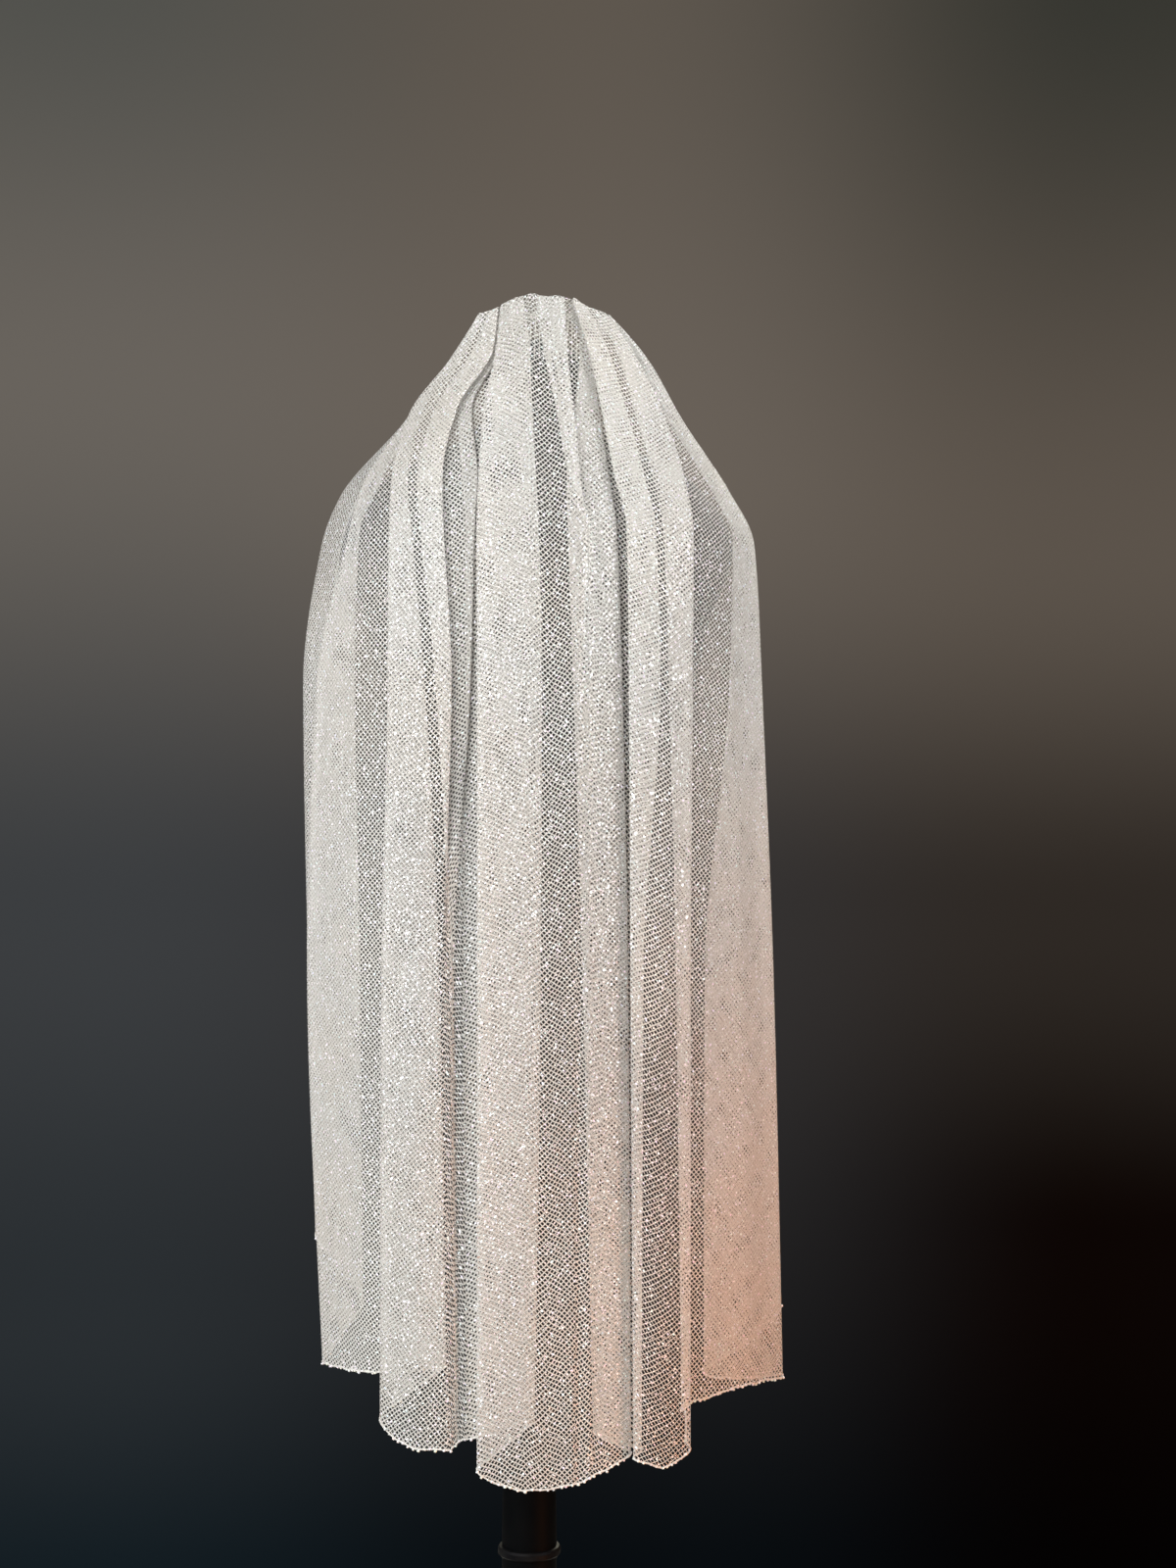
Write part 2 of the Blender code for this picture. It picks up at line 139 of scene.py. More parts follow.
# The header: the cloth above the gathers, which loops over the comb's spine and ends on its front.
HEADER_FRONT = -6.6  # y where it ends
HEADER_LIFT = 5.0  # rise of the loop above the gathers
HEADER_LIFT_SHARES = (0.7, 0.3)  # parts of it that are steady, and grow with the reach
HEADER_INSET = 3.0  # how far its two ends turn inwards
HEADER_END_LOSS = 0.85  # share of the lift that is lost there
HEADER_END_MOST, HEADER_END_POWER = 1.1, 4  # limit and power of the curve towards them
HEADER_DEPTH = 17.0  # reach of the outermost loop from back to front
HEADER_FALL = 3.0  # how much lower the loop ends than it starts
HEADER_FLAP = 15.0  # length of the front flap
HEADER_FLAP_WAVE, HEADER_FLAP_TURN = 0.5, 5.0  # how it waves in y along the cloth
# x, height and half width of its uneven bumps.
HEADER_BUMPS = ((-43, -3.5, 7), (-26, 1.2, 8), (-11, 2.2, 8), (3, 3.6, 6),
                (18, -1.2, 5), (28, 1.6, 7), (44, 4.0, 8), (66, -2.0, 7))

# Creases: mm along the cloth from its left edge, top and bottom height, half width, and
# depth, where above 0 is a ridge outwards and below 0 a trough.
Crease = namedtuple("Crease", "along top bottom width depth")
CREASES = [Crease(*row) for row in (
    (60, 1480, 980, 16, -2.0), (105, 1400, 760, 14, 2.2), (168, 1450, 1050, 12, -1.8),
    (236, 1380, 700, 15, 2.0), (262, 1560, 1320, 9, -1.8), (300, 1290, 690, 13, -1.6),
    (345, 1500, 1180, 9, 1.8), (420, 1560, 1260, 8, -1.5), (455, 1240, 640, 12, 1.3),
    (512, 1590, 1330, 8, 1.6), (560, 1200, 600, 13, -1.4), (610, 1600, 1300, 8, -1.4),
    (655, 1590, 1250, 9, 1.7), (700, 1100, 580, 13, 1.2), (742, 1570, 1290, 8, -1.5),
    (800, 1480, 1090, 11, 1.4), (842, 1240, 600, 13, -1.3), (880, 1600, 1280, 8, 1.6),
    (930, 1560, 1260, 8, -1.5), (985, 1400, 960, 11, 1.5), (1030, 1540, 1230, 8, 1.5),
    (1085, 1160, 620, 13, -1.3), (1130, 1520, 1160, 10, -1.8), (1190, 1430, 900, 13, 1.9),
    (1245, 1330, 700, 15, -2.2), (1300, 1460, 1010, 12, 1.8), (1372, 1390, 760, 15, -2.1),
    (1440, 1440, 1020, 13, 2.0), (1500, 1330, 820, 16, -2.0), (1560, 1470, 940, 14, 1.8),
)]
CREASE_FADES = (0.3, 0.35)  # parts of its length in which a crease fades at its top and bottom

# The rolled edge and its beads.
EDGE_RADIUS = 0.85
EDGE_STEP = 2.2  # mm between the points of its path
EDGE_WAVE, EDGE_WAVE_PITCH = 1.1, 27.0  # how the hem wanders up and down
EDGE_TWIST, EDGE_TWIST_PITCH = 0.18, 4.6  # changes of the radius, as a part of it
EDGE_UNEVEN, EDGE_UNEVEN_PITCH = 0.1, 31.0
BEAD_PITCH = 6.0
BEAD_RADIUS = 1.65
BEAD_FLATNESS = 0.85
BEAD_STRAY = ((-0.8, 0.8), (-1.0, 1.0), (-1.6, 0.4))  # mm from the edge, in x, y and z

# The net and its glitter.
NET_PITCH = 3.5  # mm between neighbouring threads
THREAD_SHARE = 0.30  # part of the pitch that a thread takes
THREAD_EDGE = 0.02  # part of the pitch in which its soft edge fades
THREAD_WANDER = 2.6  # mm that threads stray from straight lines
THREAD_GROWTH = 0.45  # how much wider crowded threads look, as a power
MESH_VEIL = 0.06  # how much the fine ground between threads hides
GATHER_EFFECT = 0.15  # how much gathering closes the net, as a power
SLANT_EFFECT = 0.5  # the same for a slant,
SLANT_LEAST = 0.16  # whose cosine counts down to this
FULLNESS_MOST = 5.0  # most that the cloth counts as drawn together,
FULLNESS_REACH = 9  # evened out over so many columns
LEAST_STEP = 0.05  # least mm between drawn columns that counts
STRETCH_SHIFT = (211.3, 97.9)  # mm along and down from the net's start on one stretch to the next
STRETCH_TURNS = (4, -6, 8, -3, 5, -8, 2)  # degrees that it is turned on one after another
DEPTH_SHARES = (0.6, 0.3)  # how much depth adds to its length across and down
GLITTER_BARE = 0.2  # share of flakes left out
GLITTER_TINT = 0.2
GLITTER_TILT = 0.5
DUST_PITCH, DUST_LARGEST = 3.7, 0.2  # mm between fine flakes, and the largest's radius as a part of that
FLAKE_PITCH, FLAKE_LARGEST = 6.4, 0.17  # the same for large flakes
CLOTH_GLOW = 0.28  # share of the light that comes through the threads
# Two shades of the threads, in wide soft patches, and of the fine ground. The ground's are much darker:
# painted shade, standing in for the shaded layers seen through the net's holes.
THREAD_SHADES = ((0.645, 0.640, 0.630, 1), (0.665, 0.640, 0.612, 1))
GROUND_PAINTED_SHADES = ((0.345, 0.342, 0.336, 1), (0.360, 0.345, 0.326, 1))
# Rows of (height, closeness of the threads) for the stretches that start at these turns.
CLOSENESS = {
    "left_edge left_wrap left_inner": ((1340, 1.0), (1400, 0.5), (1500, 0.5), (1560, 1.0)),
    "left_side": ((900, 1.4), (1100, 1.0), (1380, 0.8), (1440, 0.45), (1500, 0.45), (1570, 0.9)),
    "b_ridge_tuck b_rib_tuck": ((1350, 2.3), (1500, 1.2)),
    "c_edge": ((1250, 1.0), (1420, 0.6), (1560, 0.55), (1600, 0.4)),
    "c_pleat_tuck": ((1250, 1.0), (1420, 0.7), (1560, 0.6), (1600, 0.4)),
    "d_edge": ((560, 0.4), (720, 0.45), (900, 0.55), (1000, 1.0)),
    "d_right_tuck": ((700, 0.7), (860, 0.85), (1230, 0.9), (1340, 0.45), (1490, 0.45), (1570, 0.9)),
    "right_inner right_wrap": ((1230, 1.0), (1340, 0.6), (1490, 0.6), (1570, 1.0)),
}

# ---- the comb, in mm
COMB_WIDTH = 80.0
COMB_BOW = 9.0  # how far the end teeth's tips curve round the block
COMB_TEETH = 18
COMB_END = COMB_WIDTH / 2 - 1.2  # half length of the spine's middle line
COMB_TEETH_REACH = 0.985  # share of it that the teeth take up
COMB_SPINE = (-9.1, 1639.5)  # y and z of the spine's middle
COMB_SPINE_RADIUS, COMB_SPINE_TALL = 1.0, 3.3  # half thickness, and height in thicknesses
COMB_TOOTH_RADII = (0.8, 0.45)  # at the root and the tip
# y and z from the spine, round the back of the block, to the teeth's tips.
COMB_ROUTE = ((-9.2, 1636.0), (-11.5, 1631.5), (-17.0, 1627.0),
              (-30.0, 1618.5), (-41.0, 1606.0), (-51.0, 1591.5))
STITCH_TURNS, STITCH_RADIUS = 46, 0.28  # of the thread that whips the gathers to the spine
STITCH_CENTRE, STITCH_REACH = (-8.7, 1639.8), (3.1, 5.0)  # middle and half size of a turn, in y and z
STITCH_ADVANCE, STITCH_STRAY = 0.9, 0.12  # mm that half a turn moves on, and that it strays

# ---- the display form, in mm
Section = namedtuple("Section", "height half_width half_depth middle")
TORSO_CENTRE = 8.0
TORSO = [Section(*row) for row in (
    (836, 46, 40, 0), (838, 92, 56, 0), (848, 132, 76, -2), (872, 158, 90, -4), (920, 167, 95, -4),
    (1000, 147, 86, 0), (1080, 124, 77, 4), (1180, 138, 88, 2), (1280, 158, 98, 0), (1340, 170, 86, 2),
    (1385, 188, 68, 2), (1408, 194, 58, 2), (1432, 189, 55, 2), (1460, 170, 55, 2), (1485, 145, 56, 2),
    (1503, 110, 56, 2), (1518, 78, 54, 1), (1532, 60, 52, 0), (1536, 54, 47, 0),
)]
TORSO_SQUARENESS = 2.2
TORSO_SIDES = 144
TORSO_ROW = 6.0  # mm between the rows of its grid
COVER_INSET = 0.6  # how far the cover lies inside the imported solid
SEAM_COUNT, SEAM_DEPTH = 8, 0.7
SEAM_LIP = 0.4  # rise beside a seam, as a part of its depth
TAPES = ((1079.0, 2.6), (862.0, 3.2))  # height and half width, at the waist and below the hips
# Across a tape: place as a share of its half width, and how far out.
TAPE_PROFILE = ((-1.0, -0.5), (-0.9, 0.45), (0.0, 0.7), (0.9, 0.45), (1.0, -0.5))
TAPE_INSET = 0.3

# Turned profiles: height, radius.
NECK_BLOCK = ((1536.4, 47), (1538, 50), (1562, 53), (1582, 51),
              (1598, 45), (1609, 35), (1616, 21), (1618, 1.5))
STEM_FOOT = 22.4  # height from which its rows count
STEM = ((0, 27), (400, 27), (470, 26), (540, 23.5), (620, 20), (700, 18), (813, 18))
STEM_RADIUS = 27.0
COLLARS = ((0.0, 16.0), (398.0, 9.0))  # place above the foot, and height, of two rings
# A ring's section, from its foot and its top: how far out from the stem, how far up.
COLLAR_LOW = ((-1.0, 0.0), (2.6, 0.0), (4.0, 1.4))
COLLAR_HIGH = ((4.0, -3.0), (2.6, -0.8), (-1.0, 0.0))
STEM_SIDES = 96
# The base: (radius, height) at its foot and on its top, and a rounded edge between them.
BASE_LOW = ((160.0, 0.0), (164.0, 0.8), (165.0, 2.4))
BASE_HIGH = ((120.0, 21.7), (70.0, 21.8), (34.0, 22.0))
BASE_ROUND_CENTRE, BASE_ROUND = (159.5, 16.0), 5.5
BASE_SIDES = 144

# ---- the room, in metres
FLOOR_RADIUS = 1.2
FLOOR_DROP = 0.0005
# The wall behind: rows of (share of the way up, colour as a screen shows it).
WALL_LEFT = ((0.0, (24, 33, 38)), (0.18, (46, 50, 53)), (0.42, (62, 64, 66)),
             (0.75, (104, 99, 93)), (1.0, (82, 82, 78)))
WALL_MIDDLE = ((0.0, (16, 20, 23)), (0.42, (56, 54, 54)), (0.7, (106, 98, 90)), (1.0, (94, 87, 79)))
WALL_RIGHT = ((0.0, (10, 8, 8)), (0.22, (20, 14, 12)), (0.42, (50, 45, 41)),
              (0.65, (92, 84, 76)), (1.0, (57, 57, 52)))
# Directions, as sines: lowest and highest, from left to right colours, and the reach of the lighter middle.
WALL_HEIGHTS, WALL_SIDES, WALL_GLOW = (-0.32, 0.32), (-0.13, 0.15), 0.2
SCREEN_GAMMA = 2.2

Lamp = namedtuple("Lamp", "name place target size power colour spread")
LAMPS = (
    Lamp("key", (-1.3, -2.7, 2.3), (0.0, 0.0, 1.3), 1.8, 96.0, (1.0, 1.0, 0.95), 180.0),
    Lamp("left", (-2.5, -1.3, 1.7), (0.0, 0.0, 1.3), 1.8, 60.0, (1.0, 0.98, 0.97), 180.0),
    Lamp("right", (2.4, -1.3, 2.5), (0.1, 0.0, 1.66), 1.4, 10.0, (1.0, 0.985, 0.95), 42.0),
    Lamp("behind", (0.5, 2.6, 2.3), (0.0, 0.0, 1.2), 1.8, 44.0, (1.0, 0.95, 0.75), 180.0),
    Lamp("low_warm", (1.25, -0.9, 0.35), (0.27, -0.06, 0.62), 0.5, 1.3, (1.0, 0.31, 0.06), 50.0),
)


def ease(value):
    """0 to 1 with level ends."""
    value = np.clip(value, 0.0, 1.0)
    return value * value * (3 - 2 * value)


def through(stations, values, where):
    """A smooth curve through values at rising stations, read at many places."""
    stations = np.asarray(stations, float)
    values = np.asarray(values, float)
    step = np.diff(values) / np.diff(stations)
    slope = np.zeros(len(values))
    slope[0], slope[-1] = step[0], step[-1]
    same_way = step[:-1] * step[1:] > 0
    total = np.where(same_way, step[:-1] + step[1:], 1.0)
    slope[1:-1] = np.where(same_way, 2 * step[:-1] * step[1:] / total, 0.0)
    where = np.clip(where, stations[0], stations[-1])
    cell = np.clip(np.searchsorted(stations, where, side="right") - 1, 0, len(stations) - 2)
    span = stations[cell + 1] - stations[cell]
    t = (where - stations[cell]) / span
    return ((1 + 2 * t) * (1 - t) ** 2 * values[cell] + t * (1 - t) ** 2 * span * slope[cell]
            + t * t * (3 - 2 * t) * values[cell + 1] + t * t * (t - 1) * span * slope[cell + 1])


class Plans:
    """The veil's plan at an array of heights. Its results hold a value for each."""

    def __init__(self, z):
        stations = [level.height for level in reversed(LEVELS)]
        self.z = z
        self.x = [through(stations, fold.x[::-1], z) for fold in FOLDS]
        self.back, self.side, self.round, self.near, self.far = (
            through(stations, column[::-1], z) for column in list(zip(*LEVELS))[1:])
        left, right = self.x[1], self.x[-2]
        self.middle = (left + right) / 2
        self.half = (right - left) / 2

    def surface(self, x, depth):
        """y of a layer at a depth behind the outermost cloth."""
        share = np.minimum(np.abs(x - self.middle) / self.half, 1.0)
        outer = self.side + (self.back - self.side) * (1 - share ** self.round)
        slope = (self.side - self.back) * self.round * share ** (self.round - 1) / self.half
        drawn_out = np.minimum(np.hypot(1, slope), STEEPEST)
        leaving = ease((depth - FAR_START) / (FAR_FULL - FAR_START))
        scaled = (np.minimum(depth, FAR_START) * self.near * drawn_out
                  + np.maximum(depth - FAR_START, 0) * self.far)
        return outer + (self.side - outer) * leaving + scaled

    def surfaces(self, x, depth):
        """The same for every column of the cloth."""
        return np.array([self.surface(*column) for column in zip(x, depth)])

    def turn(self, index, angle):
        """(x, depth) of a point on the arc of a turn."""
        fold = FOLDS[index]
        way = 1 if (index - FIRST_TO_TURN_RIGHT) % 2 == 0 else -1
        before, here, after = self.x[index - 1], self.x[index], self.x[index + 1]
        overlap = np.minimum(way * (here - before), way * (here - after))
        radius = abs(fold.go - fold.come) / 2 * self.near
        closed = ease(overlap / (CLOSED_OVERLAP * radius))
        radius = np.minimum(radius, np.maximum(overlap, 0) / 2)
        sine, cosine = math.sin(math.radians(angle)), math.cos(math.radians(angle))
        x_closed = here - way * radius * (1 - cosine)
        depth_closed = (fold.come + fold.go) / 2 + (fold.go - fold.come) / 2 * sine
        spread = np.minimum(LAX_SPREAD, LAX_SHARE * np.minimum(np.abs(here - before), np.abs(here - after)))
        x_lax = here + spread * sine
        depth_lax = fold.lax + sine
        return x_closed * closed + x_lax * (1 - closed), depth_closed * closed + depth_lax * (1 - closed)

    def end(self, index, leaving):
        """(x, depth) where a turn's arc starts or ends."""
        if index in (0, len(FOLDS) - 1):
            return self.x[index], np.full(len(self.z), float(FOLDS[index].go))
        return self.turn(index, 90 if leaving else -90)

    def run(self, index, share):
        """(x, depth) part of the way from one turn to the next."""
        x_from, depth_from = self.end(index, True)
        x_to, depth_to = self.end(index + 1, False)
        return x_from + (x_to - x_from) * share, depth_from + (depth_to - depth_from) * share


def hem_heights(places):
    """Height of the hem, places counted in turns from the left free edge."""
    heights = [height for fold in FOLDS for height in (fold.hem, fold.low)][:-1]
    return through(np.arange(len(heights)) / 2, heights, places)


def uneven_wave(along, pitch, seed):
    """A wave of about -1 to 1 along the cloth whose pitch and height wander."""
    draw = random.Random(seed)
    total = np.zeros_like(along)
    for share, strength in ((1.0, 0.6), (0.73, 0.25), (1.41, 0.25)):
        drift = 1 + 0.06 * draw.uniform(-1, 1)
        start = draw.uniform(0, 6.28)
        total += strength * np.sin(2 * math.pi * along / (pitch * share * drift) + start)
    return total


def running(steps):
    """Running totals of the steps along the first axis, from 0."""
    return np.cumsum(np.insert(steps, 0, 0.0, axis=0), axis=0)


class Cloth:
    """The veil's middle surface: rows from the header to the hem, columns along the hem."""

    def __init__(self):
        self.make_columns()
        self.make_rows()
        self.place_points()
        self.measure()
        self.lay_net()

    def make_columns(self):
        """x and depth of every column at every plan height, and its place along the cloth."""
        lowest = min(fold.low for fold in FOLDS) - PLAN_BELOW_HEM
        plans = Plans(np.arange(lowest, GATHER_TOP + PLAN_STEP, PLAN_STEP))
        at = int((FULL_WIDTH_AT - lowest) / PLAN_STEP)
        columns = [(*plans.end(0, True), 0.0)]
        for index in range(len(FOLDS) - 1):
            if index > 0:
                for angle in ARC_ANGLES:
                    columns.append((*plans.turn(index, angle), index + ARC_SHARE * angle / 90))
            x_from, _ = plans.end(index, True)
            x_to, _ = plans.end(index + 1, False)
            steps = max(int(abs(x_to[at] - x_from[at]) / COLUMN_STEP), 2)
            for step in range(1, steps):
                share = step / steps
                place = index + ARC_SHARE + (1 - 2 * ARC_SHARE) * share
                columns.append((*plans.run(index, share), place))
        columns.append((*plans.end(len(FOLDS) - 1, False), len(FOLDS) - 1.0))
        self.plans = plans
        self.x, self.depth, self.place = (np.array(values) for values in zip(*columns))
        self.segment = np.hypot(np.diff(self.x[:, at]), np.diff(plans.surfaces(self.x, self.depth)[:, at]))
        self.along = running(self.segment)

    def make_rows(self):
        """Heights of every point below the header."""
        share = np.minimum(((self.x[:, -1] - GATHER_CENTRE) / GATHER_HALF) ** 2, 1.0)
        self.top = GATHER_TOP - GATHER_DROP * share - TOP_INSET
        self.hem = hem_heights(self.place)
        self.hem += EDGE_WAVE * uneven_wave(self.along, EDGE_WAVE_PITCH, seed=5)
        fall = self.top - self.hem
        longest = float(fall.max())
        below, steps = 0.0, [0.0]
        while below < longest:
            below += ROW_FIRST + (ROW_LAST - ROW_FIRST) * float(ease(below / ROW_GROWTH))
            steps.append(below)
        shares = (np.array(steps) / steps[-1])[:, None]
        # Rows share out each column's own fall. Higher up, short columns run ahead, towards level rows.
        ahead = shares * (longest - fall) * shares * (1 - shares) ** 2
        self.z = self.top - shares * fall - ahead
        self.z[-1] = self.hem

    def place_points(self):
        """All points, with gathers, flutes and creases, and the header on top."""
        plans = self.plans
        below_top = self.top[:, None] - plans.z[None, :]
        gathers = uneven_wave(self.along, GATHER_PITCH, seed=11)[:, None] * GATHER_WAVE
        risen = GATHER_LEAST + (1 - GATHER_LEAST) * ease(below_top / GATHER_RISE + GATHER_RISEN)
        gathers = gathers * (1 - ease(below_top / GATHER_FADE)) * risen
        flutes = uneven_wave(self.along, FLUTE_PITCH, seed=23)[:, None] * FLUTE_WAVE
        flutes = flutes * ease((below_top - FLUTE_START) / FLUTE_GROWTH)
        relief = -(gathers + flutes)
        for crease in CREASES:
            across = np.exp(-((self.along - crease.along) / crease.width) ** 2)
            length = crease.top - crease.bottom
            from_top = ease((crease.top - plans.z) / (CREASE_FADES[0] * length))
            from_bottom = ease((plans.z - crease.bottom) / (CREASE_FADES[1] * length))
            relief -= crease.depth * across[:, None] * (from_top * from_bottom)[None, :]
        y = plans.surfaces(self.x, self.depth + relief)
        points = np.zeros((len(self.z), len(self.x), 3))
        for column in range(len(self.x)):
            points[:, column, 0] = np.interp(self.z[:, column], plans.z, self.x[column])
            points[:, column, 1] = np.interp(self.z[:, column], plans.z, y[column])
        points[:, :, 2] = self.z
        header = self.header_rows(points[0])
        self.points = np.concatenate((header, points))
        self.header_count = len(header)

    def header_rows(self, first):
        """Rows from the foot of the front flap, over the comb's spine, to the first row behind it."""
        bump = np.zeros(len(first))
        for x, height, width in HEADER_BUMPS:
            bump += height * np.exp(-((first[:, 0] - x) / width) ** 2)
        reach = HEADER_FRONT - first[:, 1]
        off_centre = first[:, 0] - GATHER_CENTRE
        end = np.minimum(np.abs(off_centre) / GATHER_HALF, HEADER_END_MOST) ** HEADER_END_POWER
        inward = -HEADER_INSET * end * np.sign(off_centre)
        steady, growing = HEADER_LIFT_SHARES
        lift = HEADER_LIFT * (steady + growing * reach / HEADER_DEPTH) + bump
        lift *= 1 - HEADER_END_LOSS * end
        rows = []
        for share in (1.0, 0.66, 0.33):
            row = first.copy()
            row[:, 0] += inward
            row[:, 1] = HEADER_FRONT + HEADER_FLAP_WAVE * np.sin(self.along / HEADER_FLAP_TURN) * share
            row[:, 2] -= HEADER_FALL + HEADER_FLAP * share
            rows.append(row)
        for share in (0.93, 0.8, 0.64, 0.48, 0.32, 0.16):
            row = first.copy()
            row[:, 0] += inward * share
            row[:, 1] += reach * (1 - math.cos(math.pi * share)) / 2
            row[:, 2] += lift * math.sin(math.pi * share) - HEADER_FALL * share
            rows.append(row)
        return np.array(rows)

    def measure(self):
        """Length of each column, and how close the net's threads lie at each point."""
        self.length = np.linalg.norm(np.diff(self.points, axis=0), axis=2).sum(axis=0)
        drawn = np.hypot(np.diff(self.points[:, :, 0], axis=1), np.diff(self.points[:, :, 1], axis=1))
        kernel = np.ones(FULLNESS_REACH) / FULLNESS_REACH
        wide = np.convolve(self.segment, kernel, mode="same")
        columns = np.arange(len(self.x))
        fullness = np.empty(self.points.shape[:2])
        for row, steps in enumerate(drawn):
            narrow = np.convolve(steps, kernel, mode="same")
            ratio = wide / np.maximum(narrow, LEAST_STEP)
            fullness[row] = np.interp(columns, columns[:-1] + 0.5, ratio)
        self.closeness = np.clip(fullness, 1.0, FULLNESS_MOST) ** GATHER_EFFECT
        names = [fold.name for fold in FOLDS]
        for stretches, rows in CLOSENESS.items():
            heights, values = zip(*rows)
            on_them = np.isin(np.floor(self.place), [names.index(name) for name in stretches.split()])
            self.closeness[:, on_them] *= np.interp(self.points[:, on_them, 2], heights, values)

    def lay_net(self):
        """Net coordinates at the corners of each quad, laid out stretch by stretch."""
        fall = np.diff(self.points, axis=0)
        down = running(np.hypot(DEPTH_SHARES[1] * fall[:, :, 1], fall[:, :, 2]))
        step = np.diff(self.points, axis=1)
        along = running(np.hypot(step[:, :, 0], DEPTH_SHARES[0] * step[:, :, 1]).T).T
        stretch = np.floor((self.place[1:] + self.place[:-1]) / 2).astype(int)
        middles = np.array([int(np.argmin(np.abs(self.place - (index + 0.5)))) for index in stretch])
        # A stretch that swings to one side takes its net along upright. Even ones run to the left.
        way = np.where(stretch % 2 == 0, -1.0, 1.0)
        start = along[:, middles] - way * self.points[:, middles, 0]
        turned_by = np.radians([STRETCH_TURNS[index % len(STRETCH_TURNS)] for index in stretch])
        cosine, sine = np.cos(turned_by), np.sin(turned_by)

        def corners(u, v):
            return (u * cosine - v * sine + STRETCH_SHIFT[0] * stretch,
                    u * sine + v * cosine + STRETCH_SHIFT[1] * stretch)

        left, right = along[:, :-1] - start, along[:, 1:] - start
        upper = [corners(left[:-1], down[:-1, :-1]), corners(right[:-1], down[:-1, 1:])]
        lower = [corners(left[1:], down[1:, :-1]), corners(right[1:], down[1:, 1:])]
        self.net = (upper[0], lower[0], lower[1], upper[1])


# ---- objects and meshes
def new_object(name, data, place=(0, 0, 0)):
    """Put a mesh, lamp or camera in the scene."""
    made = bpy.data.objects.new(name, data)
    made.location = place
    scene.collection.objects.link(made)
    return made


def new_piece(name, points, faces, finish, sharp_angle=None):
    """A mesh from points in mm and faces, put on the object's one body."""
    mesh = bpy.data.meshes.new(name)
    mesh.from_pydata((np.asarray(points, float) * MM).tolist(), [], faces)
    mesh.validate()
    piece = new_object(name, mesh)
    mesh.materials.append(finish)
    mesh.shade_smooth()
    if sharp_angle:
        mesh.set_sharp_from_angle(angle=math.radians(sharp_angle))
    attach(piece, BODY)
    return piece


def grid_faces(rows, columns, closed=False):
    """Quads of a grid whose points are numbered row by row."""
    upper = np.arange(rows - 1)[:, None] * columns
    left = np.arange(columns if closed else columns - 1)[None, :]
    right = (left + 1) % columns
    quads = np.stack((upper + left, upper + columns + left, upper + columns + right, upper + right), axis=-1)
    return quads.reshape(-1, 4).tolist()


def ring_faces(rings, sides):
    """Quads round a stack of rings, and a face over each end."""
    count = rings * sides
    ends = [list(range(sides)), list(range(count - sides, count))[::-1]]
    return grid_faces(rings, sides, closed=True) + ends


def on_path(path, stations, where):
    """Points read between the points of a path."""
    return np.stack([np.interp(where, stations, path[:, axis]) for axis in range(3)], axis=-1)


def tube(path, radii, sides):
    """Points and faces of a round closed tube along a path."""
    path = np.asarray(path, float)
    radii = np.broadcast_to(radii, len(path))
    ahead = np.gradient(path, axis=0)
    ahead /= np.maximum(np.linalg.norm(ahead, axis=1), 1e-9)[:, None]
    side = np.cross(ahead[0], (0.0, 0.0, 1.0))
    if np.linalg.norm(side) < 1e-3:
        side = np.cross(ahead[0], (0.0, 1.0, 0.0))
    rings = []
    for place, direction, radius in zip(path, ahead, radii):
        side = side - direction * np.dot(side, direction)
        side /= max(np.linalg.norm(side), 1e-9)
        other = np.cross(direction, side)
        angles = np.arange(sides) * 2 * math.pi / sides
        rings.append(place + radius * (np.cos(angles)[:, None] * side + np.sin(angles)[:, None] * other))
    return np.concatenate(rings), ring_faces(len(path), sides)


def joined(parts):
    """Several (points, faces) as one."""
    points, faces, start = [], [], 0
    for part_points, part_faces in parts:
        points.append(part_points)
        faces += [[i + start for i in face] for face in part_faces]
        start += len(part_points)
    return np.concatenate(points), faces


def turned(profile, centre, sides):
    """Points and faces of a closed turned form from (radius, height) rows, bottom to top."""
    angles = np.arange(sides) * 2 * math.pi / sides
    rings = []
    for radius, height in reversed(profile):
        x, y = centre + radius * np.cos(angles), radius * np.sin(angles)
        rings.append(np.stack((x, y, np.full(sides, float(height))), axis=1))
    return np.concatenate(rings), ring_faces(len(profile), sides)


def smooth_profile(rows, steps):
    """(radius, height) rows of a smooth curve through rows of (height, radius)."""
    heights, radii = zip(*rows)
    runs = [np.linspace(low, high, steps, endpoint=False) for low, high in zip(heights, heights[1:])]
    fine = np.concatenate(runs + [heights[-1:]])
    return list(zip(through(heights, radii, fine), fine))


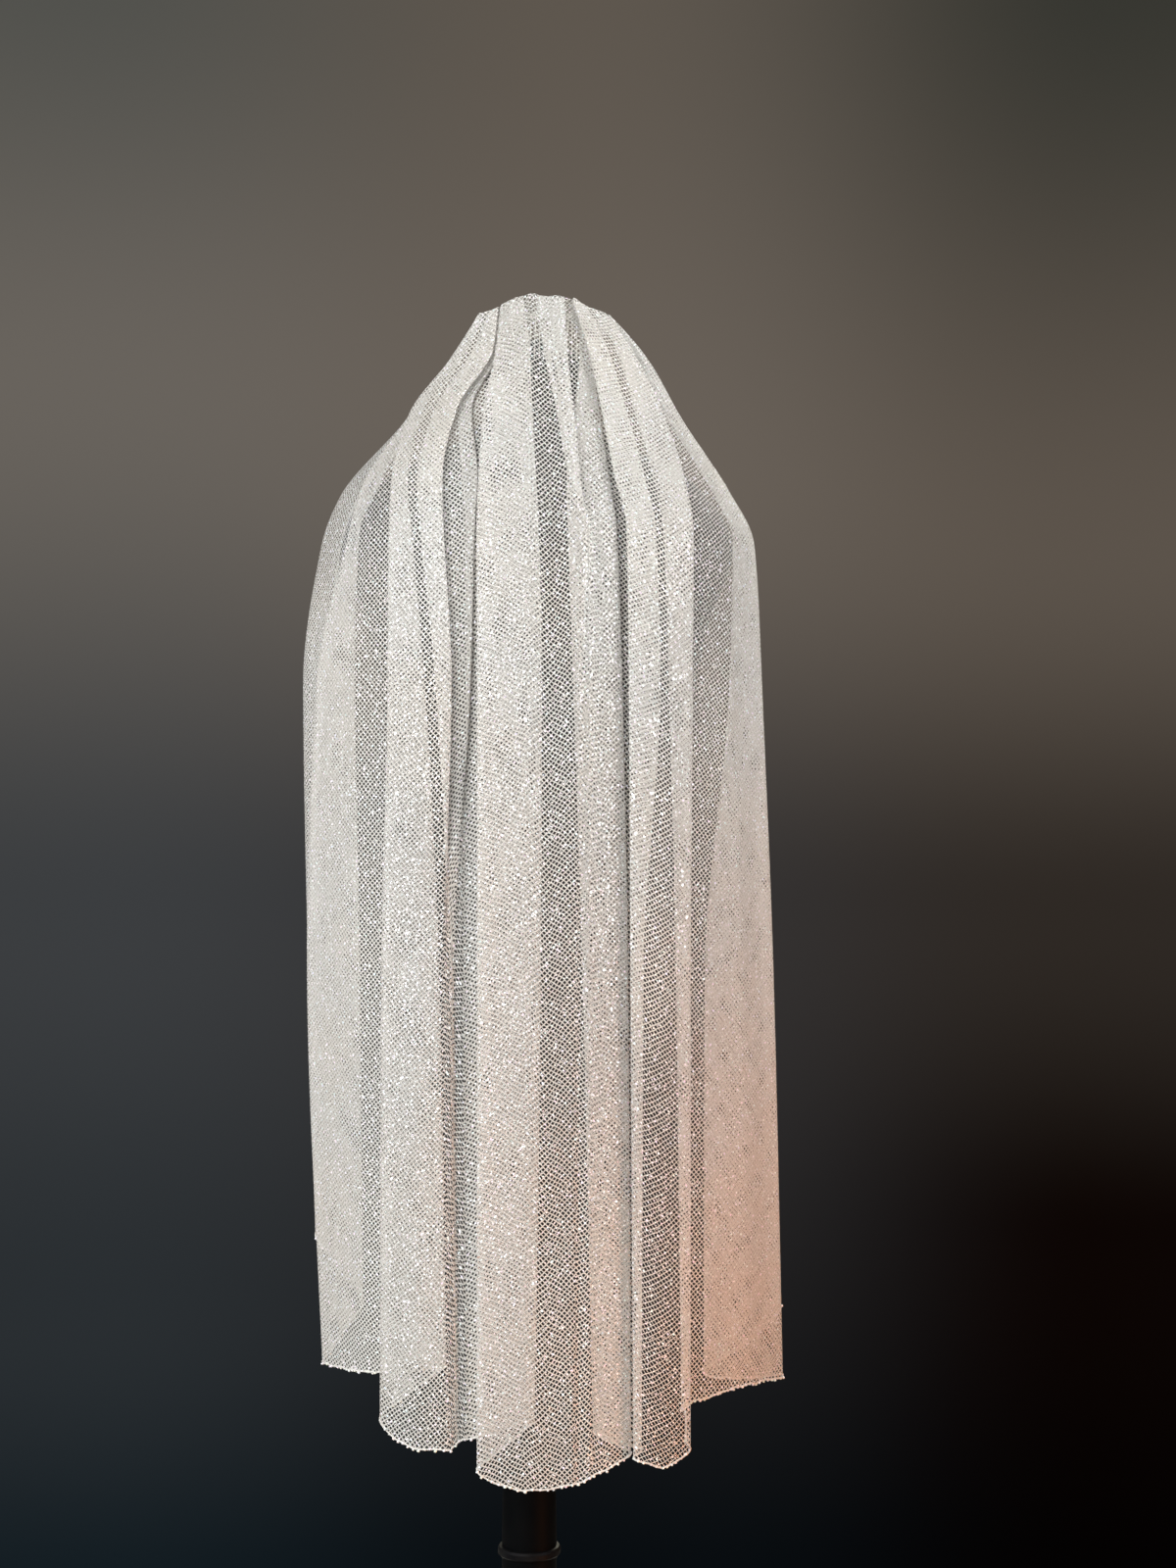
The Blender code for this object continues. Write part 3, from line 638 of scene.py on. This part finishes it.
# ---- materials
class Nodes:
    """Short-hand for one node tree."""

    def __init__(self, tree):
        self.tree = tree
        tree.nodes.clear()

    def add(self, kind, inputs=None, **settings):
        """A node with its settings. Each input is linked, or given a constant."""
        node = self.tree.nodes.new("ShaderNode" + kind)
        for name, value in settings.items():
            setattr(node, name, value)
        for name, value in (inputs or {}).items():
            if isinstance(value, bpy.types.NodeSocket):
                self.tree.links.new(value, node.inputs[name])
            else:
                node.inputs[name].default_value = value
        return node

    def math(self, operation, first, second=0.0):
        return self.add("Math", {0: first, 1: second}, operation=operation).outputs[0]

    def vector(self, operation, first, second, socket=1):
        """Vector maths. A scale goes to the socket "Scale"."""
        return self.add("VectorMath", {0: first, socket: second}, operation=operation).outputs[0]

    def mix_colour(self, share, first, second):
        return self.add("Mix", {0: share, 6: first, 7: second}, data_type="RGBA").outputs[2]

    def mix_shader(self, share, first, second):
        return self.add("MixShader", {0: share, 1: first.outputs[0], 2: second.outputs[0]})

    def remap(self, value, low, high, to_low=0.0, to_high=1.0, smooth=False):
        limits = {"Value": value, "From Min": low, "From Max": high, "To Min": to_low, "To Max": to_high}
        kind = "SMOOTHSTEP" if smooth else "LINEAR"
        return self.add("MapRange", limits, interpolation_type=kind).outputs["Result"]

    def noise(self, place, scale, detail, roughness=0.5, socket="Fac", **settings):
        inputs = {"Vector": place, "Scale": scale, "Detail": detail, "Roughness": roughness}
        return self.add("TexNoise", inputs, **settings).outputs[socket]

    def bump(self, strength, distance, height):
        inputs = {"Strength": strength, "Distance": distance * MM, "Height": height}
        return self.add("Bump", inputs).outputs[0]

    def ramp(self, value, stops):
        """A colour from rising stops, the first at 0 and the last at 1."""
        node = self.add("ValToRGB", {"Fac": value})
        node.color_ramp.interpolation = "EASE"
        for place, _ in stops[1:-1]:
            node.color_ramp.elements.new(place)
        for element, (place, colour) in zip(node.color_ramp.elements, stops):
            element.position = place
            element.color = (*[(level / 255) ** SCREEN_GAMMA for level in colour], 1)
        return node.outputs["Color"]


class Finish(Nodes):
    """One material. place holds the places on the object itself."""

    def __init__(self, name):
        self.material = bpy.data.materials.new(name)
        self.material.use_nodes = True
        super().__init__(self.material.node_tree)
        self.place = self.add("TexCoord").outputs["Object"]

    def done(self, surface):
        """The material, with a shader node as its surface."""
        self.add("OutputMaterial", {"Surface": surface.outputs[0]})
        return self.material


def glitter(made, uv, pitch, largest):
    """Flakes on a scattered grid: a mask, and one colour for each."""
    cells = made.add("TexVoronoi", {"Vector": uv, "Scale": 1 / (pitch * MM)},
                     voronoi_dimensions="2D", feature="F1")
    colour = cells.outputs["Color"]
    draw = made.add("SeparateColor", {0: colour}).outputs[2]
    size = made.remap(draw, GLITTER_BARE, 1.0, 0.0, largest)
    return made.math("LESS_THAN", cells.outputs["Distance"], size), colour


def net_masks(made, uv):
    """How much of a place a thread covers, and how much the fine ground does."""
    wander = made.noise(uv, 48.0, 2.0, 0.6, "Color", noise_dimensions="2D")
    shift = made.vector("SCALE", wander, THREAD_WANDER * MM, "Scale")
    place = made.add("SeparateXYZ", {0: made.vector("ADD", uv, shift)})
    u, v = place.outputs[0], place.outputs[1]
    close = made.add("Attribute", attribute_name="closeness").outputs["Fac"]
    facing = made.add("LayerWeight", {"Blend": 0.5}).outputs["Facing"]
    straight = made.math("MAXIMUM", made.math("SUBTRACT", 1.0, facing), SLANT_LEAST)
    slant = made.math("DIVIDE", 1.0, straight)
    # A gathered net has more threads in the same width, and so has one that is seen at a slant.
    crowd = made.math("MULTIPLY", close, made.math("POWER", slant, SLANT_EFFECT))
    half_thread = made.math("MULTIPLY", made.math("POWER", crowd, THREAD_GROWTH), THREAD_SHARE / 2)
    lines = []
    for way in ("ADD", "SUBTRACT"):
        across = made.math("DIVIDE", made.math(way, u, v), NET_PITCH * MM * math.sqrt(2))
        lines.append(made.math("PINGPONG", across, 0.5))
    nearest = made.math("MINIMUM", *lines)
    thread = made.remap(made.math("SUBTRACT", nearest, half_thread), THREAD_EDGE, -THREAD_EDGE, smooth=True)
    return thread, made.math("SUBTRACT", 1.0, made.math("POWER", 1 - MESH_VEIL, crowd))


def tulle_material():
    """Soft net of diagonal threads with a fine ground, whose colour is painted darker as shade, and glitter
    stuck on it.
    """
    made = Finish("tulle")
    uv = made.add("UVMap", uv_map="cloth").outputs["UV"]
    thread, ground = net_masks(made, uv)
    dust, dust_colour = glitter(made, uv, DUST_PITCH, DUST_LARGEST)
    large, large_colour = glitter(made, uv, FLAKE_PITCH, FLAKE_LARGEST)
    flake = made.math("MAXIMUM", dust, large)
    flake_colour = made.mix_colour(large, dust_colour, large_colour)
    # Each flake lies at a tilt of its own, which comes from its colour.
    tilt = made.vector("SUBTRACT", flake_colour, (0.5, 0.5, 0.5))
    tilt = made.vector("SCALE", tilt, GLITTER_TILT, "Scale")
    normal = made.add("NewGeometry").outputs["Normal"]
    tilted = made.vector("ADD", normal, tilt)
    tilted = made.add("VectorMath", {0: tilted}, operation="NORMALIZE").outputs[0]
    patches = made.noise(uv, 7.0, 3.0, noise_dimensions="2D")
    patches = made.remap(patches, 0.35, 0.65)
    # Between the threads the ground takes the darker colours: painted shade in the net's holes.
    shade = made.mix_colour(thread, made.mix_colour(patches, *GROUND_PAINTED_SHADES),
                            made.mix_colour(patches, *THREAD_SHADES))
    tint = made.mix_colour(GLITTER_TINT, (1.0, 1.0, 1.0, 1), flake_colour)
    cloth = made.add("BsdfPrincipled", {
        "Base Color": shade, "Roughness": 0.62, "Sheen Weight": 0.25, "Sheen Roughness": 0.4})
    glow = made.add("BsdfTranslucent", {"Color": shade})
    body = made.mix_shader(CLOTH_GLOW, cloth, glow)
    mirror = made.add("BsdfPrincipled", {
        "Base Color": tint, "Roughness": 0.35, "Metallic": 0.12, "Normal": tilted})
    lit = made.mix_shader(flake, body, mirror)
    alpha = made.math("MAXIMUM", made.math("MAXIMUM", thread, flake), ground)
    return made.done(made.mix_shader(alpha, made.add("BsdfTransparent"), lit))


def thread_material():
    """White whipping thread with a fine twist, painted darker in its grooves as shade."""
    made = Finish("edge_thread")
    inputs = {"Vector": made.place, "Scale": 420.0, "Distortion": 3.0, "Detail": 1.0}
    twist = made.add("TexWave", inputs, bands_direction="DIAGONAL").outputs["Fac"]
    # The colour follows the twist's bump, darker where it is low: painted shade in the grooves.
    return made.done(made.add("BsdfPrincipled", {
        "Base Color": made.mix_colour(twist, (0.58, 0.57, 0.555, 1), (0.76, 0.75, 0.73, 1)),
        "Roughness": 0.5, "Sheen Weight": 0.3, "Sheen Roughness": 0.4, "Normal": made.bump(0.5, 0.3, twist)}))


def bead_material():
    """Small glass beads with a pearly tint."""
    made = Finish("glass_beads")
    spots = made.add("TexVoronoi", {"Vector": made.place, "Scale": 130.0}).outputs["Color"]
    return made.done(made.add("BsdfPrincipled", {
        "Base Color": made.mix_colour(0.18, (0.93, 0.93, 0.94, 1), spots),
        "Roughness": 0.12, "Coat Weight": 0.8, "Coat Roughness": 0.05}))


def comb_material():
    """Clear-white moulded comb."""
    made = Finish("comb_plastic")
    haze = made.noise(made.place, 90.0, 3.0)
    return made.done(made.add("BsdfPrincipled", {
        "Base Color": made.mix_colour(haze, (0.72, 0.71, 0.68, 1), (0.84, 0.83, 0.80, 1)),
        "Roughness": made.remap(haze, 0.3, 0.7, 0.22, 0.38), "Transmission Weight": 0.35, "IOR": 1.49}))


def jersey_material():
    """Black stretch jersey with fine ribs, lint and a soft sheen."""
    made = Finish("black_jersey")
    inputs = {"Vector": made.place, "Scale": 260.0, "Distortion": 0.6, "Detail": 1.0}
    ribs = made.add("TexWave", inputs, bands_direction="X").outputs["Fac"]
    lint = made.noise(made.place, 320.0, 4.0)
    worn = made.noise(made.place, 7.0, 3.0)
    worn_base = made.remap(worn, 0.35, 0.7)
    base = made.mix_colour(worn_base, (0.0055, 0.0055, 0.0065, 1), (0.010, 0.010, 0.0115, 1))
    base = made.mix_colour(made.remap(lint, 0.68, 0.76), base, (0.045, 0.045, 0.048, 1))
    height = made.math("ADD", ribs, made.math("MULTIPLY", lint, 0.8))
    return made.done(made.add("BsdfPrincipled", {
        "Base Color": base, "Roughness": made.remap(worn, 0.3, 0.7, 0.72, 0.86), "Sheen Weight": 0.12,
        "Sheen Roughness": 0.5, "Normal": made.bump(0.35, 0.4, height)}))


def lacquer_material(name, low, high, roughness, metallic=0.0):
    """Black lacquer or coated metal with a fine orange-peel surface and small scuffs."""
    made = Finish(name)
    peel = made.noise(made.place, 420.0, 2.0)
    scuffs = made.noise(made.place, 24.0, 6.0, 0.7)
    return made.done(made.add("BsdfPrincipled", {
        "Base Color": made.mix_colour(made.remap(scuffs, 0.4, 0.72), (*low, 1), (*high, 1)),
        "Roughness": made.remap(scuffs, 0.35, 0.75, roughness, roughness + 0.2),
        "Metallic": metallic, "Specular IOR Level": 0.04, "Normal": made.bump(0.12, 0.2, peel)}))


# ---- pieces
def make_veil(cloth, finish):
    """The gathered and pleated panel of tulle."""
    veil = new_piece("veil", cloth.points.reshape(-1, 3), grid_faces(*cloth.points.shape[:2]), finish)
    net = np.stack([np.stack(corner, axis=-1) for corner in cloth.net], axis=-2) * MM
    veil.data.uv_layers.new(name="cloth").data.foreach_set("uv", net.astype(np.float32).ravel())
    closeness = veil.data.attributes.new("closeness", "FLOAT", "POINT")
    closeness.data.foreach_set("value", cloth.closeness.astype(np.float32).ravel())
    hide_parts("veil_panel")
    return veil


def edge_path(cloth):
    """The free edge, in even steps: down the left side, along the hem and up the right side."""
    body = cloth.points[cloth.header_count:]
    path = np.concatenate((body[:-1, 0], body[-1], body[-2::-1, -1]))
    lengths = running(np.linalg.norm(np.diff(path, axis=0), axis=1))
    even = np.arange(0, lengths[-1], EDGE_STEP)
    return on_path(path, lengths, even), even


def make_edge(path, along, finish):
    """The whipped roll that finishes the free edges."""
    twist = EDGE_TWIST * np.sin(along * 2 * math.pi / EDGE_TWIST_PITCH)
    uneven = EDGE_UNEVEN * uneven_wave(along, EDGE_UNEVEN_PITCH, seed=3)
    edge = new_piece("veil_edge", *tube(path, EDGE_RADIUS * (1 + twist + uneven), 6), finish)
    return edge


def make_beads(path, along, finish):
    """Small beads sewn along the edge at a nearly even pitch."""
    draw = random.Random(17)
    work = bmesh.new()
    bmesh.ops.create_icosphere(work, subdivisions=1, radius=1.0)
    ball = np.array([vertex.co[:] for vertex in work.verts])
    ball_faces = [[vertex.index for vertex in face.verts] for face in work.faces]
    work.free()
    parts = []
    place = BEAD_PITCH
    while place < along[-1] - BEAD_PITCH:
        radius = BEAD_RADIUS * draw.uniform(0.75, 1.15)
        stray = np.array([draw.uniform(*limits) for limits in BEAD_STRAY])
        middle = on_path(path, along, place) + stray
        parts.append((ball * (radius, radius, radius * BEAD_FLATNESS) + middle, ball_faces))
        place += BEAD_PITCH * draw.uniform(0.8, 1.2)
    beads = new_piece("edge_beads", *joined(parts), finish)
    return beads


def make_comb(middle, finish):
    """A comb with a rounded spine and tapered teeth."""
    y, z = COMB_SPINE
    spine = [(middle + COMB_END * math.cos(angle), y, z) for angle in np.linspace(math.pi, 0, 41)]
    spine_points, spine_faces = tube(spine, COMB_SPINE_RADIUS, 10)
    spine_points[:, 2] = z + (spine_points[:, 2] - z) * COMB_SPINE_TALL
    parts = [(spine_points, spine_faces)]
    route = np.array(COMB_ROUTE)
    count = len(route)
    for tooth in range(COMB_TEETH):
        share = 2 * tooth / (COMB_TEETH - 1) - 1
        bow = COMB_BOW * share * share * np.linspace(0, 1, count)
        x = np.full(count, middle + COMB_END * COMB_TEETH_REACH * share)
        path = np.stack((x, route[:, 0] + bow, route[:, 1]), axis=1)
        fine = on_path(path, range(count), np.linspace(0, count - 1, 26))
        parts.append(tube(fine, np.linspace(*COMB_TOOTH_RADII, len(fine)), 8))
    comb = new_piece("hair_comb", *joined(parts), finish, 60)
    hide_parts("comb")


def make_stitches(middle, finish):
    """The thread that whips the gathers to the comb's spine."""
    draw = random.Random(41)
    parts = []
    for turn in range(STITCH_TURNS):
        x = middle + COMB_END * (2 * turn / (STITCH_TURNS - 1) - 1)
        ring = []
        for angle in np.linspace(0, 2 * math.pi, 15):
            ring.append((x + STITCH_ADVANCE * angle / math.pi + draw.uniform(-STITCH_STRAY, STITCH_STRAY),
                         STITCH_CENTRE[0] + STITCH_REACH[0] * math.cos(angle),
                         STITCH_CENTRE[1] + STITCH_REACH[1] * math.sin(angle)))
        parts.append(tube(ring, STITCH_RADIUS, 5))
    stitches = new_piece("comb_stitches", *joined(parts), finish)


def torso_point(angle, height):
    """A point of the torso's outer surface, in mm."""
    heights = [section.height for section in TORSO]
    half_width, half_depth, middle = (
        through(heights, [section[field] for section in TORSO], height) for field in (1, 2, 3))
    cosine, sine = np.cos(angle), np.sin(angle)
    power = 2 / TORSO_SQUARENESS
    x = np.sign(cosine) * np.abs(cosine) ** power * half_width
    y = np.sign(sine) * np.abs(sine) ** power * half_depth
    return x + TORSO_CENTRE, y + middle


def make_torso(finish):
    """The padded body in its jersey cover, with sewn seams."""
    lowest, highest = TORSO[0].height, TORSO[-1].height
    ends = [lowest, lowest + 1, lowest + 2, highest - 4, highest - 2, highest]
    heights = np.unique(np.concatenate((np.arange(lowest, highest, TORSO_ROW), ends)))
    angles = np.arange(TORSO_SIDES) * 2 * math.pi / TORSO_SIDES
    angle, height = np.meshgrid(angles, heights)
    x, y = (values.reshape(angle.shape) for values in torso_point(angle.ravel(), height.ravel()))
    # Seams run up the middle of the back, both sides and between them, on the grid's own lines.
    groove = np.zeros_like(x)
    for seam in range(0, TORSO_SIDES, TORSO_SIDES // SEAM_COUNT):
        groove[:, seam] = SEAM_DEPTH
        for beside in ((seam + 1) % TORSO_SIDES, seam - 1):
            groove[:, beside] = -SEAM_DEPTH * SEAM_LIP
    scale = 1 - (groove + COVER_INSET) / np.hypot(x - TORSO_CENTRE, y)
    points = np.stack((TORSO_CENTRE + (x - TORSO_CENTRE) * scale, y * scale, height), axis=-1)[::-1]
    faces = ring_faces(len(heights), TORSO_SIDES)
    torso = new_piece("torso_cover", points.reshape(-1, 3), faces, finish, 55)
    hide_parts("form_torso")


def make_tapes(finish):
    """The tapes sewn round the torso's waist and lower edge."""
    around = np.linspace(0, 2 * math.pi, 181)
    parts = []
    for height, width in TAPES:
        rows = []
        for level, out in TAPE_PROFILE:
            z = np.full(len(around), height + level * width)
            x, y = torso_point(around, z)
            grow = 1 + (out - TAPE_INSET) / np.hypot(x - TORSO_CENTRE, y)
            rows.append(np.stack((TORSO_CENTRE + (x - TORSO_CENTRE) * grow, y * grow, z), axis=1))
        parts.append((np.concatenate(rows[::-1]), grid_faces(len(rows), len(around))))
    tapes = new_piece("torso_tapes", *joined(parts), finish, 60)


def make_neck_block(finish):
    """The plain domed block that carries the comb."""
    profile = smooth_profile(NECK_BLOCK, 6)
    block = new_piece("neck_block", *turned(profile, TORSO_CENTRE, STEM_SIDES), finish, 40)
    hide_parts("form_neck_block")


def make_stem(lacquer, metal):
    """The pole under the torso, and its two collars."""
    profile = [(radius, STEM_FOOT + height) for radius, height in smooth_profile(STEM, 8)]
    stem = new_piece("stand_stem", *turned(profile, 0.0, STEM_SIDES), lacquer, 40)
    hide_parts("form_stem")
    collars = []
    for place, tall in COLLARS:
        low = STEM_FOOT + place
        ring = [(STEM_RADIUS + out, low + up) for out, up in COLLAR_LOW]
        ring += [(STEM_RADIUS + out, low + tall + up) for out, up in COLLAR_HIGH]
        collars.append(turned(ring, 0.0, STEM_SIDES))
    collar = new_piece("stem_collars", *joined(collars), metal, 30)


def make_base(finish):
    """The round foot plate with its rounded edge."""
    profile = list(BASE_LOW)
    for angle in np.radians(np.linspace(0, 90, 9)):
        profile.append((BASE_ROUND_CENTRE[0] + BASE_ROUND * math.cos(angle),
                        BASE_ROUND_CENTRE[1] + BASE_ROUND * math.sin(angle)))
    profile += BASE_HIGH
    base = new_piece("stand_base", *turned(profile, 0.0, BASE_SIDES), finish, 35)
    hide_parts("form_base")


# ---- room
def make_floor():
    """A plain pale round floor, just outside the main view."""
    made = Finish("pale_floor")
    grain = made.noise(made.place, 35.0, 4.0)
    shade = made.mix_colour(grain, (0.60, 0.59, 0.57, 1), (0.66, 0.65, 0.63, 1))
    mesh = bpy.data.meshes.new("floor")
    work = bmesh.new()
    bmesh.ops.create_circle(work, cap_ends=True, segments=96, radius=FLOOR_RADIUS)
    work.to_mesh(mesh)
    work.free()
    mesh.materials.append(made.done(made.add("BsdfPrincipled", {"Base Color": shade, "Roughness": 0.7})))
    floor = new_object("floor", mesh, (0, 0, -FLOOR_DROP))


def make_world():
    """Dark grey-brown studio wall, lighter in its middle, darker below and to the right."""
    world = bpy.data.worlds.new("studio")
    scene.world = world
    world.use_nodes = True
    made = Nodes(world.node_tree)
    aim = made.add("SeparateXYZ", {0: made.add("TexCoord").outputs["Generated"]})
    height = made.remap(aim.outputs[2], *WALL_HEIGHTS)
    left, middle, right = (made.ramp(height, stops) for stops in (WALL_LEFT, WALL_MIDDLE, WALL_RIGHT))
    wall = made.mix_colour(made.remap(aim.outputs[0], *WALL_SIDES, smooth=True), left, right)
    off_centre = made.math("ABSOLUTE", aim.outputs[0])
    wall = made.mix_colour(made.remap(off_centre, WALL_GLOW, 0.0, smooth=True), wall, middle)
    background = made.add("Background", {"Color": wall, "Strength": 1.0})
    made.add("OutputWorld", {"Surface": background.outputs[0]})


def make_lamps():
    """Soft square lamps, each aimed at a point."""
    for lamp in LAMPS:
        data = bpy.data.lights.new(lamp.name, "AREA")
        data.size = lamp.size
        data.spread = math.radians(lamp.spread)
        data.energy = lamp.power
        data.color = lamp.colour
        aim = Vector(lamp.target) - Vector(lamp.place)
        light = new_object(lamp.name, data, lamp.place)
        light.rotation_euler = aim.to_track_quat("-Z", "Y").to_euler()


def make_camera():
    """A level camera with the photograph's viewing angle."""
    data = bpy.data.cameras.new("camera")
    data.sensor_fit = "VERTICAL"
    data.sensor_height = SENSOR
    data.lens = FOCAL_PIXELS / PHOTO_HEIGHT * SENSOR
    scene.camera = new_object("camera", data, CAMERA_PLACE)
    scene.camera.rotation_euler = (math.radians(90), 0, 0)


def main():
    make_camera()
    make_world()
    make_lamps()
    make_floor()
    scene.view_settings.view_transform = "Standard"
    scene.cycles.transparent_max_bounces = 24
    cloth = Cloth()
    thread = thread_material()
    veil = make_veil(cloth, tulle_material())
    path, along = edge_path(cloth)
    edge = make_edge(path, along, thread)
    beads = make_beads(path, along, bead_material())
    low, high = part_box("comb")
    comb_middle = (low.x + high.x) / 2 / MM
    make_comb(comb_middle, comb_material())
    make_stitches(comb_middle, thread)
    make_torso(jersey_material())
    make_tapes(lacquer_material("cover_tape", (0.008, 0.008, 0.009), (0.016, 0.016, 0.017), 0.5))
    make_neck_block(lacquer_material("block_lacquer", (0.011, 0.011, 0.012), (0.02, 0.02, 0.021), 0.45))
    metal = lacquer_material("base_metal", (0.005, 0.005, 0.006), (0.014, 0.014, 0.014), 0.4, 0.4)
    make_stem(lacquer_material("stem_lacquer", (0.0006, 0.001, 0.0014), (0.002, 0.002, 0.0024), 0.5), metal)
    make_base(metal)


main()
